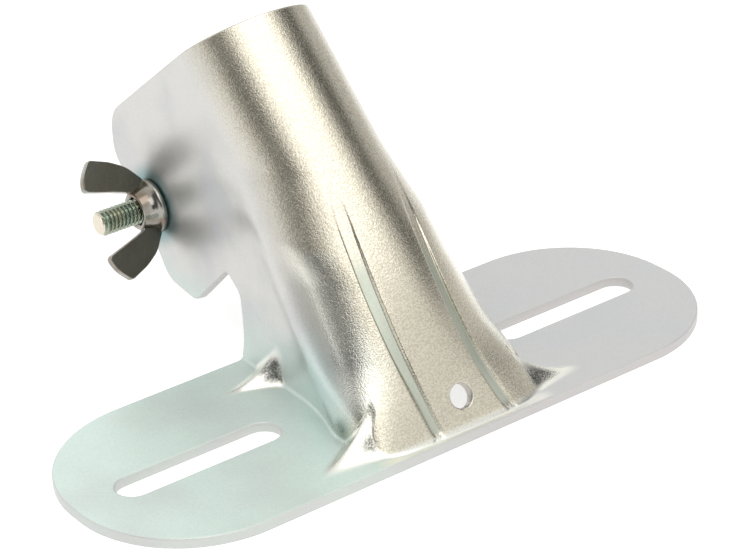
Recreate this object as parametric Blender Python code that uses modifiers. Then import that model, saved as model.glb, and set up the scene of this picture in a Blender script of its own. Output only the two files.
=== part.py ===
"""Clamp-on handle socket bracket: one pressed sheet, a clamp bolt and a wing nut.

Frame: X along the two slotted feet, Y from the front lip to the clamp ears, Z up.
The origin is the centre of the bounding box, on the underside of the feet. Metres.
"""
import math

import bmesh
import bpy
from mathutils import Vector

# Sheet and feet
SHEET = 0.0024
FOOT_SPAN = 0.160
FOOT_DEPTH = 0.0588
FOOT_END_RADIUS = 0.0278
SLOT_SPACING = 0.0995
SLOT_LENGTH = 0.0402
SLOT_WIDTH = 0.0082
SLOT_END_ROUNDNESS = 0.999
FOLD_RADIUS = 0.0020
FLAT_MARGIN = 0.0012
UNDERSIDE_TRIM = 0.0001

# Socket: a half tube that leans back, with flat cheeks behind it
LEAN = math.radians(45.0)
TUBE_RADIUS = 0.0164
AXIS_START = 0.0100
EAR_HALF_WIDTH = 0.0166
CHEEK_SPREAD = 0.0028
CHEEK_SPREAD_HEIGHT = 0.024
FLARE_WIDTH = 0.0066
FLARE_HEIGHT = 0.050
TOE_START = 0.0016
TOE_SLOPE = math.radians(62.0)
TOE_BLEND = 0.0020
FLAT_HEIGHT = 0.038
FLAT_CORNER = 4.0
FLAT_SHIFT = 0.0050
CHEEK_SETTLE = 0.0090
CHEEK_BACK = 0.116
WALL_TOP = 0.084

# Side outline: the rim is one straight cut that runs on down the ears
RIM_ANGLE = math.radians(53.5)
RIM_DISTANCE = 0.1020
RIM_FRONT = 0.0400
EAR_BACK = 0.1108

# Pressed details
GUSSET_REACH = 0.0105
GUSSET_RISE = 0.0065
GUSSET_HALF_WIDTH = 0.0062
GUSSET_BACK = 0.0485
GUSSET_FRONT = 0.0100
GUSSET_FLATNESS = 0.75
FLUTE_CENTRE = 0.0090
FLUTE_HALF_WIDTH = 0.0016
FLUTE_DEPTH = 0.0009
FLUTE_TOP = 0.046
FLUTE_FADE = 0.020
FLUTE_LEAN = math.radians(37.0)
DRAIN_RADIUS = 0.00275
DRAIN_X = 0.0010
DRAIN_HEIGHT = 0.0085

# Clamp bolt and wing nut
BOLT_Y = 0.0947
BOLT_Z = 0.0269
BOLT_RADIUS = 0.00295
BOLT_LENGTH = 0.0485
BOLT_CHAMFER = 0.0006
BOLT_HOLE_RADIUS = 0.0033
NECK_HALF_SIDE = 0.0030
NECK_HOLE_HALF_SIDE = 0.0033
NECK_LENGTH = 0.0030
HEAD_RADIUS = 0.0075
HEAD_HEIGHT = 0.0033
GAP = 0.0003
NUT_BORE_RADIUS = 0.00325
FLANGE_RADIUS = 0.0065
HUB_RADIUS = 0.0052
HUB_TIP_RADIUS = 0.0044
HUB_HEIGHT = 0.0050
HUB_WAIST_HEIGHT = 0.0022
HUB_EDGE = 0.0004
FLANGE_TOP = 0.0014
FLANGE_EDGE = 0.0003
BORE_LENGTH = 0.030
WING_THICKNESS = 0.0022
WING_SPAN = 0.0290
WING_HEIGHT = 0.0155
WING_TURN = math.radians(31.2)

# The feet's front edge is half the object's depth in front of the origin
FRONT_EDGE = -EAR_BACK / 2

# How far blanks and cutters run past what they cut
TRIM_MARGIN = 0.002
CUTTER_REACH = 0.090

# Columns of the sheet's mesh: round the curve, then before, across and behind the back gusset
CURVE_COLUMNS = 24
BEFORE_COLUMNS = 7
GUSSET_COLUMNS = 8
BEHIND_COLUMNS = 5
GUSSET_FIRST = 0.61
GUSSET_LAST = 0.71
COLUMN_GROWTH = 1.6

# Rows of the sheet's mesh
FOLD_STEPS = 4
WALL_ROWS = 13
WALL_ROW_GROWTH = 1.3

COLLECTION = "handle_socket_bracket"


def clear_scene():
    for old in list(bpy.data.objects):
        bpy.data.objects.remove(old, do_unlink=True)


def new_collection(name):
    collection = bpy.data.collections.new(name)
    bpy.context.scene.collection.children.link(collection)
    return collection


def make_material(name, colour, roughness, metallic):
    material = bpy.data.materials.new(name)
    material.use_nodes = True
    shader = material.node_tree.nodes["Principled BSDF"]
    shader.inputs["Base Color"].default_value = (*colour, 1.0)
    shader.inputs["Roughness"].default_value = roughness
    shader.inputs["Metallic"].default_value = metallic
    return material


def add_object(name, mesh, collection, material=None):
    item = bpy.data.objects.new(name, mesh)
    collection.objects.link(item)
    if material:
        mesh.materials.append(material)
    return item


def mesh_from_bmesh(name, bm):
    bmesh.ops.recalc_face_normals(bm, faces=bm.faces)
    mesh = bpy.data.meshes.new(name)
    bm.to_mesh(mesh)
    bm.free()
    return mesh


def fade(value):
    """Smooth step from 0 to 1."""
    value = min(max(value, 0.0), 1.0)
    return value * value * (3 - 2 * value)


def cheek_half_width(z):
    spread = max(1 - z / CHEEK_SPREAD_HEIGHT, 0.0)
    return EAR_HALF_WIDTH + CHEEK_SPREAD * spread ** 2


def front_half_width(z):
    flare = max(1 - z / FLARE_HEIGHT, 0.0)
    return TUBE_RADIUS + FLARE_WIDTH * (1 - (1 - flare) ** 2) ** 1.3


def front_line(z):
    """Depth of the foremost line of the socket: the tube, then a steeper toe below it."""
    tube = AXIS_START + z / math.tan(LEAN) - TUBE_RADIUS / math.sin(LEAN)
    toe = TOE_START + (z - SHEET) / math.tan(TOE_SLOPE)
    gap = abs(tube - toe)
    return max(tube, toe) + TOE_BLEND * math.log(1 + math.exp(-gap / TOE_BLEND))


def wall_point(u, z):
    """Point of the outer surface at height z. u runs from -1 at the back of the left cheek,
    by -0.5 where the curve starts and 0 at the front, to 1 at the back of the right cheek."""
    side = -1 if u < 0 else 1
    along = abs(u)
    flat = max(1 - z / FLAT_HEIGHT, 0.0) ** 2
    start = AXIS_START + z / math.tan(LEAN) + FLAT_SHIFT * flat
    half = front_half_width(z)
    if along <= 0.5:
        angle = along * math.pi
        power = 2 / (2 + FLAT_CORNER * flat ** 2)
        x = half * math.sin(angle) ** power
        y = start - (start - front_line(z)) * max(math.cos(angle), 0.0) ** power
    else:
        y = start + (along - 0.5) * 2 * (CHEEK_BACK - start)
        rest = cheek_half_width(z)
        x = rest + (half - rest) * math.exp(-((y - start) / CHEEK_SETTLE) ** 1.5)
    dent = flute_depth(x, z)
    return side * x, y + dent * math.cos(FLUTE_LEAN), z - dent * math.sin(FLUTE_LEAN)


def flute_depth(x, z):
    """Depth of the two narrow flutes pressed into the toe."""
    across = abs(abs(x) - FLUTE_CENTRE) / FLUTE_HALF_WIDTH
    return FLUTE_DEPTH * fade(2.0 - across) * fade((FLUTE_TOP - z) / FLUTE_FADE)


def gusset(u, y):
    """How far a gusset widens the fold, from 0 to 1, at a place along it."""
    back = max(1 - abs(y - GUSSET_BACK) / GUSSET_HALF_WIDTH, 0.0)
    front = max(1 - abs(y - GUSSET_FRONT) / GUSSET_HALF_WIDTH, 0.0) if abs(u) > 0.2 else 0.0
    return max(back, front)


def outward(u, x, y):
    """Where the untrimmed foot ends, straight out from a place on the fold."""
    edge_x = FOOT_SPAN / 2 + TRIM_MARGIN
    edge_y = -TRIM_MARGIN
    if abs(u) >= 0.5:
        return math.copysign(edge_x, u), y
    centre_y = AXIS_START + FLAT_SHIFT
    reach = edge_x / max(abs(x), 1e-6)
    if centre_y - y > 1e-6:
        reach = min(reach, (centre_y - edge_y) / (centre_y - y))
    return x * reach, centre_y + (y - centre_y) * reach


def bracket_columns():
    """Values of u for the sheet's columns: even round the curve, close at the back gusset."""

    def stretch(first, last, count, growth=1.0):
        return [first + (last - first) * (i / count) ** growth for i in range(1, count + 1)]

    half = [0.0] + stretch(0.0, 0.5, CURVE_COLUMNS)
    half += stretch(0.5, GUSSET_FIRST, BEFORE_COLUMNS, COLUMN_GROWTH)
    half += stretch(GUSSET_FIRST, GUSSET_LAST, GUSSET_COLUMNS)
    half += stretch(GUSSET_LAST, 1.0, BEHIND_COLUMNS, COLUMN_GROWTH)
    return [-u for u in reversed(half[1:])] + half


def bracket_column(u):
    """Points of one column of the sheet, from the edge of the foot up to the rim."""
    fold_x, fold_y, _ = wall_point(u, SHEET)
    bulge = gusset(u, fold_y)
    rise = FOLD_RADIUS + GUSSET_RISE * bulge
    end_x, end_y = outward(u, fold_x, fold_y)
    run = math.hypot(end_x - fold_x, end_y - fold_y)
    reach = min((FOLD_RADIUS + GUSSET_REACH * bulge) / run, 0.8)

    def on_foot(share):
        return Vector((fold_x + (end_x - fold_x) * share, fold_y + (end_y - fold_y) * share, SHEET))

    corners = (on_foot(reach), on_foot(0), Vector(wall_point(u, SHEET + rise)))
    points = [on_foot(1), on_foot(reach + FLAT_MARGIN / run)]
    for i in range(FOLD_STEPS + 1):
        t = i / FOLD_STEPS
        weights = ((1 - t) ** 2, 2 * t * (1 - t) * (1 - GUSSET_FLATNESS * bulge), t ** 2)
        blended = sum((corner * weight for corner, weight in zip(corners, weights)), Vector())
        points.append(blended / sum(weights))
    for i in range(1, WALL_ROWS + 1):
        share = (i / WALL_ROWS) ** WALL_ROW_GROWTH
        points.append(Vector(wall_point(u, SHEET + rise + share * (WALL_TOP - SHEET - rise))))
    return points


def make_sheet(collection, material):
    """The pressed sheet before trimming: feet, folds, cheeks and half tube in one surface."""
    bm = bmesh.new()
    shift = Vector((0, FRONT_EDGE, 0))
    columns = [[bm.verts.new(point + shift) for point in bracket_column(u)] for u in bracket_columns()]
    for left, right in zip(columns, columns[1:]):
        for i in range(len(left) - 1):
            bm.faces.new((left[i], right[i], right[i + 1], left[i + 1]))
    mesh = bpy.data.meshes.new("bracket")
    bm.to_mesh(mesh)
    bm.free()
    item = add_object("bracket", mesh, collection, material)
    solid = item.modifiers.new("sheet", "SOLIDIFY")
    solid.thickness = SHEET + UNDERSIDE_TRIM
    solid.offset = -1
    solid.use_even_offset = True
    solid.use_quality_normals = True
    return item


def rounded(corners, arc_steps=6):
    """Closed outline through corners (a, b, radius), with each corner turned into an arc."""
    outline = []
    count = len(corners)
    for i, (a, b, radius) in enumerate(corners):
        if radius == 0:
            outline.append((a, b))
            continue
        before = corners[i - 1]
        after = corners[(i + 1) % count]
        ux, uy = before[0] - a, before[1] - b
        vx, vy = after[0] - a, after[1] - b
        ulen, vlen = math.hypot(ux, uy), math.hypot(vx, vy)
        ux, uy, vx, vy = ux / ulen, uy / ulen, vx / vlen, vy / vlen
        half = math.acos(max(-1.0, min(1.0, ux * vx + uy * vy))) / 2
        tangent = radius / math.tan(half)
        mid_x, mid_y = ux + vx, uy + vy
        mid_len = math.hypot(mid_x, mid_y)
        centre_x = a + mid_x / mid_len * radius / math.sin(half)
        centre_y = b + mid_y / mid_len * radius / math.sin(half)
        first = math.atan2(b + uy * tangent - centre_y, a + ux * tangent - centre_x)
        last = math.atan2(b + vy * tangent - centre_y, a + vx * tangent - centre_x)
        turn = (last - first + math.pi) % (2 * math.pi) - math.pi
        for step in range(arc_steps + 1):
            angle = first + turn * step / arc_steps
            outline.append((centre_x + radius * math.cos(angle), centre_y + radius * math.sin(angle)))
    return outline


def prism(name, outlines, low, high, axis, collection):
    """Flat outline, with any holes in it, extruded along Z or X and turned into a mesh."""
    curve = bpy.data.curves.new(name, "CURVE")
    curve.dimensions = "2D"
    curve.fill_mode = "BOTH"
    curve.extrude = (high - low) / 2
    for outline in outlines:
        spline = curve.splines.new("POLY")
        spline.points.add(len(outline) - 1)
        for point, (a, b) in zip(spline.points, outline):
            point.co = (a, b, 0, 1)
        spline.use_cyclic_u = True
    guide = bpy.data.objects.new(name, curve)
    collection.objects.link(guide)
    middle = (high + low) / 2
    if axis == "X":
        guide.rotation_euler = (math.pi / 2, 0, math.pi / 2)
        guide.location = (middle, 0, 0)
    else:
        guide.location = (0, 0, middle)
    bpy.context.view_layer.update()
    evaluated = guide.evaluated_get(bpy.context.evaluated_depsgraph_get())
    mesh = bpy.data.meshes.new_from_object(evaluated)
    bm = bmesh.new()
    bm.from_mesh(mesh)
    bmesh.ops.remove_doubles(bm, verts=bm.verts, dist=1e-6)
    bmesh.ops.recalc_face_normals(bm, faces=bm.faces)
    bm.to_mesh(mesh)
    bm.free()
    item = bpy.data.objects.new(name, mesh)
    item.matrix_world = guide.matrix_world.copy()
    collection.objects.link(item)
    bpy.data.objects.remove(guide, do_unlink=True)
    hide_guide(item)
    return item


def hide_guide(item):
    item.hide_render = True
    item.display_type = "WIRE"


def boolean(item, cutter, operation):
    modifier = item.modifiers.new(cutter.name, "BOOLEAN")
    modifier.operation = operation
    modifier.solver = "EXACT"
    modifier.object = cutter


def rim_height(y):
    return (RIM_DISTANCE - y * math.cos(RIM_ANGLE)) / math.sin(RIM_ANGLE)


def side_outline():
    """Side view of the whole bracket: neck, notch, ear and rim. Its floor trims the feet flat."""
    corners = [
        (-TRIM_MARGIN, 0, 0),
        (FOOT_DEPTH, 0, 0),
        (FOOT_DEPTH, 0.0070, 0.0100),
        (0.0609, 0.0172, 0.0035),
        (0.0659, 0.0209, 0.0016),
        (0.0782, 0.0090, 0.0035),
        (0.0898, 0.0103, 0.0080),
        (EAR_BACK, 0.0352, 0.0070),
        (EAR_BACK, rim_height(EAR_BACK), 0.0090),
        (RIM_FRONT, rim_height(RIM_FRONT), 0),
        (-TRIM_MARGIN, rim_height(RIM_FRONT), 0),
    ]
    return [(y + FRONT_EDGE, z) for y, z in rounded(corners)]


def slot_outline(centre_x, centre_y, length, width):
    half_l, half_w = length / 2, width / 2
    end_radius = half_w * SLOT_END_ROUNDNESS
    corners = [
        (centre_x - half_l, centre_y - half_w, end_radius),
        (centre_x + half_l, centre_y - half_w, end_radius),
        (centre_x + half_l, centre_y + half_w, end_radius),
        (centre_x - half_l, centre_y + half_w, end_radius),
    ]
    return rounded(corners)


def feet_outline():
    half = FOOT_SPAN / 2
    back = FRONT_EDGE + FOOT_DEPTH
    corners = [
        (-half, FRONT_EDGE, FOOT_END_RADIUS),
        (half, FRONT_EDGE, FOOT_END_RADIUS),
        (half, back, FOOT_END_RADIUS),
        (-half, back, FOOT_END_RADIUS),
    ]
    return rounded(corners, arc_steps=14)


def make_cylinder(name, radius, length, location, axis, collection, sides=24):
    bm = bmesh.new()
    bmesh.ops.create_cone(
        bm, cap_ends=True, segments=sides, radius1=radius, radius2=radius, depth=length
    )
    item = add_object(name, mesh_from_bmesh(name, bm), collection)
    item.location = location
    if axis == "X":
        item.rotation_euler = (0, math.pi / 2, 0)
    elif axis == "TOE":
        item.rotation_euler = (TOE_SLOPE, 0, 0)
    hide_guide(item)
    return item


def make_block(name, centre, size, collection):
    bm = bmesh.new()
    bmesh.ops.create_cube(bm, size=1.0)
    bmesh.ops.scale(bm, vec=size, verts=bm.verts)
    item = add_object(name, mesh_from_bmesh(name, bm), collection)
    item.location = centre
    hide_guide(item)
    return item


def make_bracket(parts, cutters, material):
    bracket = make_sheet(parts, material)
    side = prism("cut_side", [side_outline()], -CUTTER_REACH, CUTTER_REACH, "X", cutters)
    boolean(bracket, side, "INTERSECT")

    # The feet's outline, and the slots, are cut by blocks that reach just through the feet
    low, high = -TRIM_MARGIN, SHEET + TRIM_MARGIN
    wide = FOOT_SPAN / 2 + 5 * TRIM_MARGIN
    front = FRONT_EDGE - 5 * TRIM_MARGIN
    back = FRONT_EDGE + FOOT_DEPTH + 5 * TRIM_MARGIN
    frame = [(-wide, front), (wide, front), (wide, back), (-wide, back)]
    boolean(bracket, prism("cut_feet", [frame, feet_outline()], low, high, "Z", cutters), "DIFFERENCE")
    middle_y = FRONT_EDGE + FOOT_DEPTH / 2
    for name, side_sign in (("cut_slot_left", -1), ("cut_slot_right", 1)):
        slot = slot_outline(side_sign * SLOT_SPACING / 2, middle_y, SLOT_LENGTH, SLOT_WIDTH)
        boolean(bracket, prism(name, [slot], low, high, "Z", cutters), "DIFFERENCE")

    # A round bolt hole in the left ear, and a square one for the bolt's neck in the right ear
    bolt_y = BOLT_Y + FRONT_EDGE
    through = 5 * SHEET
    left_ear = (-EAR_HALF_WIDTH, bolt_y, BOLT_Z)
    right_ear = (EAR_HALF_WIDTH, bolt_y, BOLT_Z)
    hole = make_cylinder("cut_bolt_left", BOLT_HOLE_RADIUS, through, left_ear, "X", cutters)
    boolean(bracket, hole, "DIFFERENCE")
    square_size = (through, 2 * NECK_HOLE_HALF_SIDE, 2 * NECK_HOLE_HALF_SIDE)
    square = make_block("cut_bolt_right", right_ear, square_size, cutters)
    boolean(bracket, square, "DIFFERENCE")

    drain_place = (DRAIN_X, FRONT_EDGE + front_line(DRAIN_HEIGHT), DRAIN_HEIGHT)
    drain = make_cylinder("cut_drain", DRAIN_RADIUS, 2 * DRAIN_HEIGHT, drain_place, "TOE", cutters)
    boolean(bracket, drain, "DIFFERENCE")
    return bracket


def turned(name, profile, collection, steps=32):
    """Profile of (radius, height) spun about Z, closed, as a mesh."""
    bm = bmesh.new()
    verts = [bm.verts.new((radius, 0, height)) for radius, height in profile]
    for first, second in zip(verts, verts[1:]):
        bm.edges.new((first, second))
    mesh = bpy.data.meshes.new(name)
    bm.to_mesh(mesh)
    bm.free()
    guide = add_object(name, mesh, collection)
    screw = guide.modifiers.new("turn", "SCREW")
    screw.axis = "Z"
    screw.steps = steps
    screw.render_steps = steps
    screw.use_merge_vertices = True
    screw.merge_threshold = 0.00001
    bpy.context.view_layer.update()
    evaluated = guide.evaluated_get(bpy.context.evaluated_depsgraph_get())
    final = bpy.data.meshes.new_from_object(evaluated)
    bpy.data.objects.remove(guide, do_unlink=True)
    bm = bmesh.new()
    bm.from_mesh(final)
    bmesh.ops.remove_doubles(bm, verts=bm.verts, dist=1e-6)
    bmesh.ops.recalc_face_normals(bm, faces=bm.faces)
    bm.to_mesh(final)
    bm.free()
    return final


def smooth_round(item):
    item.data.shade_smooth()
    item.data.set_sharp_from_angle(angle=math.radians(35))


def make_bolt(parts, cutters, material, anchor):
    """Cup-head bolt. Local Z runs from the head's seat to the threaded end."""
    profile = [
        (0, BOLT_LENGTH),
        (BOLT_RADIUS - BOLT_CHAMFER, BOLT_LENGTH),
        (BOLT_RADIUS, BOLT_LENGTH - BOLT_CHAMFER),
        (BOLT_RADIUS, 0),
        (HEAD_RADIUS, 0),
    ]
    dome_steps = 5
    for i in range(1, dome_steps):
        angle = math.pi / 2 * i / dome_steps
        profile.append((HEAD_RADIUS * math.cos(angle), -HEAD_HEIGHT * math.sin(angle)))
    profile.append((0, -HEAD_HEIGHT))
    mesh = turned("clamp_bolt", profile, parts)
    bolt = add_object("clamp_bolt", mesh, parts, material)
    bolt.parent = anchor
    sunk = 0.3 * HEAD_HEIGHT
    neck_size = (2 * NECK_HALF_SIDE, 2 * NECK_HALF_SIDE, NECK_LENGTH + sunk)
    neck = make_block("join_neck", (0, 0, (NECK_LENGTH - sunk) / 2), neck_size, cutters)
    neck.parent = anchor
    boolean(bolt, neck, "UNION")
    smooth_round(bolt)
    return bolt


def wing_outline():
    """One wing, in the plane of the nut's axis: (radial, along the axis, corner radius)."""
    tip = WING_SPAN / 2
    return [
        (0.0038, 0.0008, 0),
        (0.0066, 0.0006, 0.0010),
        (0.0103, 0.0034, 0.0080),
        (0.0126, 0.0070, 0.0120),
        (tip, 0.0118, 0.0010),
        (0.0112, 0.0147, 0.0080),
        (0.0078, WING_HEIGHT, 0.0010),
        (0.0060, 0.0092, 0.0120),
        (0.0045, HUB_HEIGHT - 0.0003, 0.0006),
        (0.0038, HUB_HEIGHT - 0.0003, 0),
    ]


def make_wing_nut(parts, cutters, material, anchor):
    """Wing nut. Local Z runs from the flange's seat outwards, along the bolt."""
    hub = [
        (0, HUB_HEIGHT),
        (HUB_TIP_RADIUS - HUB_EDGE, HUB_HEIGHT),
        (HUB_TIP_RADIUS, HUB_HEIGHT - HUB_EDGE),
        (HUB_RADIUS, HUB_WAIST_HEIGHT),
        (FLANGE_RADIUS - FLANGE_EDGE, FLANGE_TOP),
        (FLANGE_RADIUS, FLANGE_TOP - HUB_EDGE),
        (FLANGE_RADIUS, FLANGE_EDGE),
        (FLANGE_RADIUS - FLANGE_EDGE, 0),
        (0, 0),
    ]
    mesh = turned("wing_nut", hub, parts)
    nut = add_object("wing_nut", mesh, parts, material)
    nut.parent = anchor
    half = WING_THICKNESS / 2
    for name, side in (("join_wing_a", 0.0), ("join_wing_b", math.pi)):
        wing = prism(name, [rounded(wing_outline(), 3)], -half, half, "Z", cutters)
        wing.parent = anchor
        wing.rotation_euler = (math.pi / 2, 0, WING_TURN + side)
        boolean(nut, wing, "UNION")
    bore_centre = (0, 0, HUB_HEIGHT / 2)
    bore = make_cylinder("cut_bore", NUT_BORE_RADIUS, BORE_LENGTH, bore_centre, "Z", cutters, sides=32)
    bore.parent = anchor
    boolean(nut, bore, "DIFFERENCE")
    smooth_round(nut)
    return nut


def axis_anchor(name, x, direction, collection):
    """Empty on the bolt's axis whose local Z points along -X or +X."""
    anchor = bpy.data.objects.new(name, None)
    collection.objects.link(anchor)
    anchor.location = (x, BOLT_Y + FRONT_EDGE, BOLT_Z)
    anchor.rotation_euler = (0, direction * math.pi / 2, 0)
    return anchor


def main():
    clear_scene()
    parts = new_collection(COLLECTION)
    cutters = new_collection("cutters")
    zinc = make_material("zinc_sheet", (0.72, 0.74, 0.71), 0.32, 1.0)
    nut_zinc = make_material("zinc_casting", (0.62, 0.61, 0.59), 0.22, 1.0)
    bolt_zinc = make_material("zinc_steel", (0.60, 0.62, 0.52), 0.30, 1.0)
    make_bracket(parts, cutters, zinc)
    bolt_anchor = axis_anchor("bolt_axis", EAR_HALF_WIDTH + GAP, -1, parts)
    make_bolt(parts, cutters, bolt_zinc, bolt_anchor)
    nut_anchor = axis_anchor("nut_axis", -EAR_HALF_WIDTH - GAP, -1, parts)
    make_wing_nut(parts, cutters, nut_zinc, nut_anchor)


main()
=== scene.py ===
"""Finished look of the handle socket bracket, its clamp bolt and its wing nut.

Metres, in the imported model's frame: X along the feet, Y from the front lip to the ears, Z up.
"""
import math

import bmesh
import bpy
import numpy as np
from mathutils import Matrix, Vector


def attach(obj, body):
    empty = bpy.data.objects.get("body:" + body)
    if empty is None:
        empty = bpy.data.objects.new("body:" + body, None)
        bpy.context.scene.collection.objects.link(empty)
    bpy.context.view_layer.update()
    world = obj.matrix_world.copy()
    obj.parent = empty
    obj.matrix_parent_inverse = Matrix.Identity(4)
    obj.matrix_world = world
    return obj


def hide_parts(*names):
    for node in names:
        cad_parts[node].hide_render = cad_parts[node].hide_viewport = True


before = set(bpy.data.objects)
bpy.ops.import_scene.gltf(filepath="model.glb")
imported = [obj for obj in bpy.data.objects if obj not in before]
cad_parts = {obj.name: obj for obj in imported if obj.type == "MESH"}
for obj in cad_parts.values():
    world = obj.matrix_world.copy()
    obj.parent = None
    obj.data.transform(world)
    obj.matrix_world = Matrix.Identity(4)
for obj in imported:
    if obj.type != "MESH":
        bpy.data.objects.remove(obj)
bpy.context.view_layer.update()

MM = 0.001

# Sheet and feet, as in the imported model. Depths below are measured from the feet's front edge.
SHEET = 2.4 * MM
FOOT_SPAN = 160.0 * MM
FOOT_DEPTH = 58.8 * MM
FOOT_END_RADIUS = 27.8 * MM
SLOT_SPACING = 99.5 * MM
SLOT_LENGTH = 40.2 * MM
SLOT_WIDTH = 8.2 * MM
FOLD_RADIUS = 0.9 * MM
EDGE_RADIUS = 0.35 * MM
EDGE_BAND = 0.30 * MM
EDGE_STEPS = 4
TRIM_MARGIN = 2.0 * MM
TINY = 1e-6

# Socket: half a tube that leans back and flares at its foot, carried on by two flat cheeks
LEAN = math.radians(45.0)
TUBE_RADIUS = 16.4 * MM
AXIS_START = 10.0 * MM
EAR_HALF_WIDTH = 16.6 * MM
CHEEK_SPREAD = 2.8 * MM
CHEEK_SPREAD_HEIGHT = 24.0 * MM
CHEEK_SETTLE = 9.0 * MM
CHEEK_SETTLE_POWER = 1.5
CHEEK_BACK = 116.0 * MM
FLARE_WIDTH = 6.6 * MM
FLARE_HEIGHT = 50.0 * MM
FLARE_POWER = 1.3
TOE_START = 1.6 * MM
TOE_SLOPE = math.radians(62.0)
TOE_BLEND = 2.0 * MM
FLAT_HEIGHT = 38.0 * MM
FLAT_CORNER = 4.0
FLAT_SHIFT = 5.0 * MM
WALL_TOP = 84.0 * MM
RIM_ANGLE = math.radians(53.5)
RIM_DISTANCE = 102.0 * MM
RIM_FRONT = 40.0 * MM
EAR_BACK = 110.8 * MM
FRONT_EDGE = -EAR_BACK / 2

# Shoulders beside the tube. A pair says where something starts and where it is in full, for ramp():
# SHOULDER in angles round the curve, SHOULDER_SIDE in u as in wall(), and the others in heights.
SHOULDER = (math.radians(66.0), math.radians(88.0))
SHOULDER_DEPTH = 0.27
SHOULDER_FOOT = (8.0 * MM, 18.0 * MM)
SHOULDER_TOP = (38.0 * MM, 30.0 * MM)
SHOULDER_SIDE = (0.56, 0.51)
# SHOULDER_SHINE_FOOT and SHOULDER_SHINE_TOP bound a painted highlight, a brighter colour, on the
# shoulders
SHOULDER_SHINE_FOOT = (8.0 * MM, 13.0 * MM)
SHOULDER_SHINE_TOP = (38.0 * MM, 36.5 * MM)

# Gussets: (place along the fold, front and back half width, reach on the foot, rise on the wall)
BACK_GUSSET = (47.6 * MM, 5.6 * MM, 5.2 * MM, 12.2 * MM, 7.2 * MM)
FRONT_GUSSET = (9.2 * MM, 5.4 * MM, 5.0 * MM, 12.0 * MM, 8.6 * MM)
RIDGE_SOFTNESS = 0.90 * MM
GUSSET_FLATNESS = 0.28
GUSSET_STEEPNESS = 1.7
# Values of |u| beyond which a gusset may stand, and the most of the foot that it may take
BACK_GUSSET_FROM = 0.5
FRONT_GUSSET_FROM = 0.2
MOST_REACH = 0.85
# Shares of a gusset's size and of the fold over which its rubbed mark, partly a painted highlight,
# fades in
BULGE_SHARE = 0.12
BULGE_FOLD = 0.25

# The front gusset's ridge climbs the wall towards the front: (place, end, share turned, height)
RIDGE_TURN = (0.444, 0.74, 0.170, 9.0 * MM)

# The sheet's inner side has softer gussets, so that it stays clear of the outer side
INNER_RELIEF = 0.45
INNER_EASE = (26.0 * MM, 12.0 * MM)

# Grid of the sheet: (where the band ends, its columns), and rows with how they crowd to the fold
COLUMN_BANDS = ((0.5, 220), (0.605, 26), (0.71, 52), (1.0, 60))
FOOT_ROWS = 58
FOOT_ROW_POWER = 1.25
FOLD_ROWS = 14
WALL_ROWS = 120
WALL_ROW_POWER = 1.15

# Flutes: (x at the waist, height of the waist, bow, top)
FLUTES = (
    (-9.6 * MM, 24.0 * MM, 5.2, 52.0 * MM),
    (6.7 * MM, 27.0 * MM, 9.0, 50.0 * MM),
)
FLUTE_HALF_WIDTH = 1.5 * MM
FLUTE_DEPTH = 0.65 * MM
FLUTE_STEP = 0.50 * MM
FLUTE_SLOPE = 0.55 * MM
FLUTE_LEAN = math.radians(37.0)
FLUTE_POINT = 9.0 * MM
FLUTE_NARROWEST = 0.05 * MM
FLUTE_FADE = 24.0 * MM
FLUTE_FOOT = (2.6 * MM, 4.4 * MM)

# Holes, and the parts of the sheet in which each one is cut
FOOT_FROM = 40.0 * MM
SLOTS_FROM = 25.0 * MM
SLOTS_BELOW = SHEET + 1.5 * MM
DRAIN_RADIUS = 2.75 * MM
DRAIN_X = 1.0 * MM
DRAIN_HEIGHT = 8.5 * MM
DRAIN_DEPTH = 14.0 * MM
DRAIN_HALF_WIDTH = 10.0 * MM
DRAIN_ABOVE = SHEET + 0.6 * MM
BOLT_Y = 94.7 * MM + FRONT_EDGE
BOLT_Z = 26.9 * MM
BOLT_HOLE_RADIUS = 3.3 * MM
NECK_HOLE_HALF_SIDE = 3.3 * MM
NECK_HOLE_CORNER = 0.6 * MM
# Step of outside_slope()
SLOPE_STEP = 0.02 * MM

# Marks carried by the sheet's points: where they start and where they are in full
DRAWN_SIDE = (0.60, 0.46)
DRAWN_FOOT = (SHEET, SHEET + 1.0 * MM)
# LIP_Y, LIP_X, LIP_Z and LIP_SHINE place a painted highlight on the front lip; SHOULDER_SHINE is the
# strength of the shoulders' painted highlight
LIP_Y = (FRONT_EDGE + 4.0 * MM, FRONT_EDGE + 2.0 * MM)
LIP_X = (24.0 * MM, 20.0 * MM)
LIP_Z = (SHEET + 1.5 * MM, SHEET + 0.5 * MM)
LIP_SHINE = 0.7
SHOULDER_SHINE = 0.8
# Points closer than this are joined when the sheet is finished
WELD_DISTANCE = 0.002 * MM

# Bolt and nut
GAP = 0.3 * MM
PITCH = 1.0 * MM
BOLT_RADIUS = 2.95 * MM
THREAD_DEPTH = 0.62 * MM
THREAD_LENGTH = 22.0 * MM
THREAD_ROOT = 0.16
THREAD_FLANK = 0.70
THREAD_RUN_IN = 2 * PITCH
THREAD_RUN_OUT = 0.5 * MM
THREAD_RINGS = 14
SHANK_START = 1.0 * MM
SHANK_RINGS = 10
BOLT_LENGTH = 48.5 * MM
BOLT_CHAMFER = 0.7 * MM
CHAMFER_SLOPE = 0.8
TIP_FLAT_RADIUS = 1.85 * MM
SAWN_FADE = 0.5 * MM
BOLT_SIDES = 72
BOLT_SHARP_ANGLE = math.radians(38)
NECK_HALF_SIDE = 3.0 * MM
NECK_LENGTH = 3.0 * MM
NECK_ROOT = 1.0 * MM
NECK_BEVEL = 0.35 * MM
HEAD_RADIUS = 7.5 * MM
HEAD_HEIGHT = 3.3 * MM
HEAD_RIM = 0.35 * MM
DOME_STEPS = 14
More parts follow.
